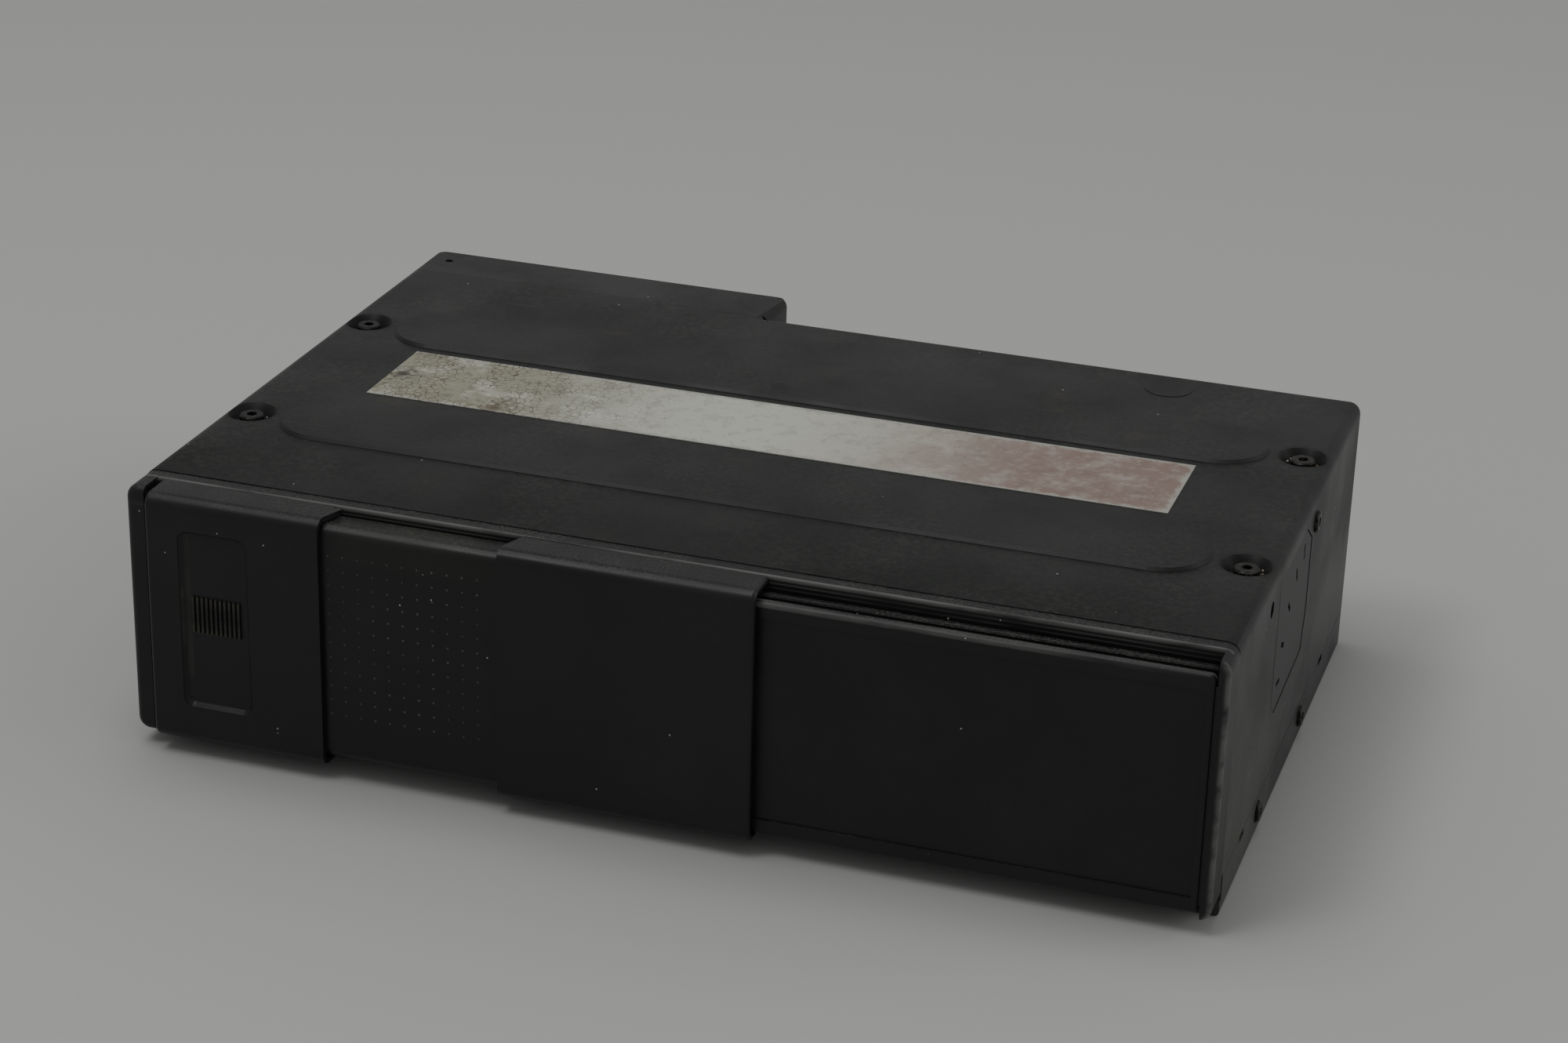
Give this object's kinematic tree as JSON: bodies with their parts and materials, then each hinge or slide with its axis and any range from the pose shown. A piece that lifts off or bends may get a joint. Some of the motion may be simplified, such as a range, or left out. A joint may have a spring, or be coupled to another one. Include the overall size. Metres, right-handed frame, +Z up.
{
  "type": "car cd changer",
  "caption": "Trunk-mount compact-disc changer: steel case, black bezel with two sliding door leaves, disc magazine and a sprung player mechanism inside.",
  "frame": {"origin": "centre of the unit's footprint at the underside of the bottom cover", "axes": "+X to the unit's right seen from its front, +Y from the bezel to the rear, +Z up"},
  "size_m": [0.2588, 0.182, 0.0668],
  "materials": {
    "case_paint": "satin black powder coat",
    "label": "worn blank film label",
    "bezel_plastic": "satin black moulding",
    "door_plastic": "semi-gloss black moulding",
    "screw_black": "black zinc, some rust",
    "plated_steel": "zinc plated",
    "adjuster_plastic": "dark grey",
    "seal_film": "yellow film",
    "board_green": "solder mask",
    "chip_black": "moulded packages",
    "socket_black": "moulded socket",
    "pin_plated": "plated contact",
    "damper_rubber": "oil-filled rubber",
    "spring_steel": "spring wire",
    "motor_can": "plated can",
    "gear_white": "acetal",
    "magazine_plastic": "grained black moulding",
    "tray_plastic": "grey moulding",
    "disc_plastic": "metallised polycarbonate",
    "hub_plastic": "black acetal",
    "lens_glass": "coated lens"
  },
  "bodies": {
    "case": {"top_cover": "case_paint", "cover_side_left": "case_paint", "cover_side_right": "case_paint", "cover_rear": "case_paint", "bottom_cover": "case_paint", "front_bezel": "bezel_plastic", "top_label": "label", "cover_screws": "screw_black", "flange_screws": "screw_black", "side_screws": "screw_black", "side_bracket_left": "plated_steel", "side_bracket_right": "plated_steel", "adjuster_plate_left": "adjuster_plastic", "adjuster_plate_right": "adjuster_plastic", "transport_seals": "seal_film", "main_board": "board_green", "board_parts": "chip_black", "signal_socket": "socket_black", "socket_pins": "pin_plated", "dampers": "damper_rubber", "suspension_springs": "spring_steel"},
    "door_outer": {"door_outer": "door_plastic"},
    "door_inner": {"door_inner": "door_plastic"},
    "adjuster_left": {"adjuster_left": "plated_steel"},
    "adjuster_right": {"adjuster_right": "plated_steel"},
    "eject_button": {"eject_button": "bezel_plastic", "eject_rod": "adjuster_plastic"},
    "mechanism": {"mech_chassis": "plated_steel", "lift_motor": "motor_can"},
    "magazine": {"magazine_shell": "magazine_plastic"},
    "lift_slides": {"lift_slide_front": "plated_steel", "lift_slide_rear": "plated_steel"},
    "lift_shaft": {"lift_shaft": "plated_steel", "lift_pinions": "gear_white", "drive_wheel": "gear_white"},
    "drive_pinion": {"drive_pinion": "gear_white", "drive_pinion_shaft": "plated_steel"},
    "carriage": {"player_deck": "plated_steel", "spindle_motor": "motor_can", "guide_rods": "plated_steel", "sled_motor": "motor_can", "clamp_pin": "plated_steel"},
    "turntable": {"turntable": "hub_plastic"},
    "lead_screw": {"lead_screw": "plated_steel"},
    "pickup": {"pickup_sled": "hub_plastic", "pickup_lens": "lens_glass"},
    "clamp_arm": {"clamp_arm": "plated_steel"},
    "clamp_puck": {"clamp_puck": "hub_plastic"},
    "tray_1": {"tray_1": "tray_plastic", "disc_1": "disc_plastic"},
    "tray_2": {"tray_2": "tray_plastic", "disc_2": "disc_plastic"},
    "tray_3": {"tray_3": "tray_plastic", "disc_3": "disc_plastic"},
    "tray_4": {"tray_4": "tray_plastic", "disc_4": "disc_plastic"},
    "tray_5": {"tray_5": "tray_plastic", "disc_5": "disc_plastic"},
    "tray_6": {"tray_6": "tray_plastic"},
    "disc_6": {"disc_6": "disc_plastic"}
  },
  "joints": [
    {"name": "door_outer_slide", "type": "slide", "parent": "case", "child": "door_outer", "axis": [1, 0, 0], "range_m": [0, 0.0975]},
    {"name": "door_inner_slide", "type": "slide", "parent": "door_outer", "child": "door_inner", "axis": [1, 0, 0], "range_m": [0, 0.0425]},
    {"name": "mechanism_float", "type": "slide", "parent": "case", "child": "mechanism", "axis": [0, 0, 1], "range_m": [-0.0012, 0.0012], "stiffness_N_per_m": 4000, "springref_m": 0.00258, "deforming": ["suspension_springs"]},
    {"name": "adjuster_left_turn", "type": "hinge", "parent": "case", "child": "adjuster_left", "pos_m": [-0.1285, 0.0015, 0.0305], "axis": [1, 0, 0], "range_deg": [0, 83]},
    {"name": "adjuster_right_turn", "type": "hinge", "parent": "case", "child": "adjuster_right", "pos_m": [0.1285, 0.0015, 0.0305], "axis": [1, 0, 0], "range_deg": [0, 83]},
    {"name": "eject_button_press", "type": "slide", "parent": "case", "child": "eject_button", "axis": [0, 1, 0], "range_m": [0, 0.003], "stiffness_N_per_m": 200, "springref_m": -0.002},
    {"name": "magazine_slide", "type": "slide", "parent": "mechanism", "child": "magazine", "axis": [0, 1, 0], "range_m": [-0.007, 0]},
    {"name": "tray_1_slide", "type": "slide", "parent": "magazine", "child": "tray_1", "axis": [1, 0, 0], "range_m": [0, 0.014]},
    {"name": "tray_2_slide", "type": "slide", "parent": "magazine", "child": "tray_2", "axis": [1, 0, 0], "range_m": [0, 0.014]},
    {"name": "tray_3_slide", "type": "slide", "parent": "magazine", "child": "tray_3", "axis": [1, 0, 0], "range_m": [0, 0.014]},
    {"name": "tray_4_slide", "type": "slide", "parent": "magazine", "child": "tray_4", "axis": [1, 0, 0], "range_m": [0, 0.014]},
    {"name": "tray_5_slide", "type": "slide", "parent": "magazine", "child": "tray_5", "axis": [1, 0, 0], "range_m": [0, 0.014]},
    {"name": "tray_6_slide", "type": "slide", "parent": "magazine", "child": "tray_6", "axis": [1, 0, 0], "range_m": [0, 0.103]},
    {"name": "disc_6_spin", "type": "hinge", "parent": "tray_6", "child": "disc_6", "pos_m": [-0.051, -0.0035, 0.0501], "axis": [0, 0, 1], "continuous": true},
    {"name": "carriage_lift", "type": "slide", "parent": "mechanism", "child": "carriage", "axis": [0, 0, 1], "range_m": [-0.026, 0.00305]},
    {"name": "lift_slides_move", "type": "slide", "parent": "mechanism", "child": "lift_slides", "axis": [1, 0, 0], "range_m": [-0.00315, 0.0261]},
    {"name": "lift_shaft_turn", "type": "hinge", "parent": "mechanism", "child": "lift_shaft", "pos_m": [0.0905, -0.0035, 0.016], "axis": [0, 1, 0], "range_deg": [-37, 311]},
    {"name": "drive_pinion_turn", "type": "hinge", "parent": "mechanism", "child": "drive_pinion", "pos_m": [0.10379, 0.0665, 0.01834], "axis": [0, 1, 0], "range_deg": [-622, 74]},
    {"name": "turntable_spin", "type": "hinge", "parent": "carriage", "child": "turntable", "pos_m": [0.052, -0.0035, 0.0464], "axis": [0, 0, 1], "continuous": true},
    {"name": "pickup_slide", "type": "slide", "parent": "carriage", "child": "pickup", "axis": [0, 1, 0], "range_m": [0, 0.0315]},
    {"name": "lead_screw_turn", "type": "hinge", "parent": "carriage", "child": "lead_screw", "pos_m": [0.0685, 0.0225, 0.0406], "axis": [0, 1, 0], "range_deg": [0, 3800]},
    {"name": "clamp_arm_turn", "type": "hinge", "parent": "carriage", "child": "clamp_arm", "pos_m": [0.052, 0.0535, 0.0576], "axis": [1, 0, 0], "range_deg": [0, 5.5]},
    {"name": "clamp_puck_spin", "type": "hinge", "parent": "clamp_arm", "child": "clamp_puck", "pos_m": [0.052, -0.00397, 0.0555], "axis": [0, 0.0958, 0.9954], "continuous": true}
  ],
  "couplings": [
    {"joint": "lift_slides_move", "follows": "carriage_lift", "ratio": -1},
    {"joint": "lift_shaft_turn", "follows": "carriage_lift", "rad_per_m": -208.33},
    {"joint": "drive_pinion_turn", "follows": "carriage_lift", "rad_per_m": 416.67},
    {"joint": "lead_screw_turn", "follows": "pickup_slide", "rad_per_m": 2094.4}
  ]
}
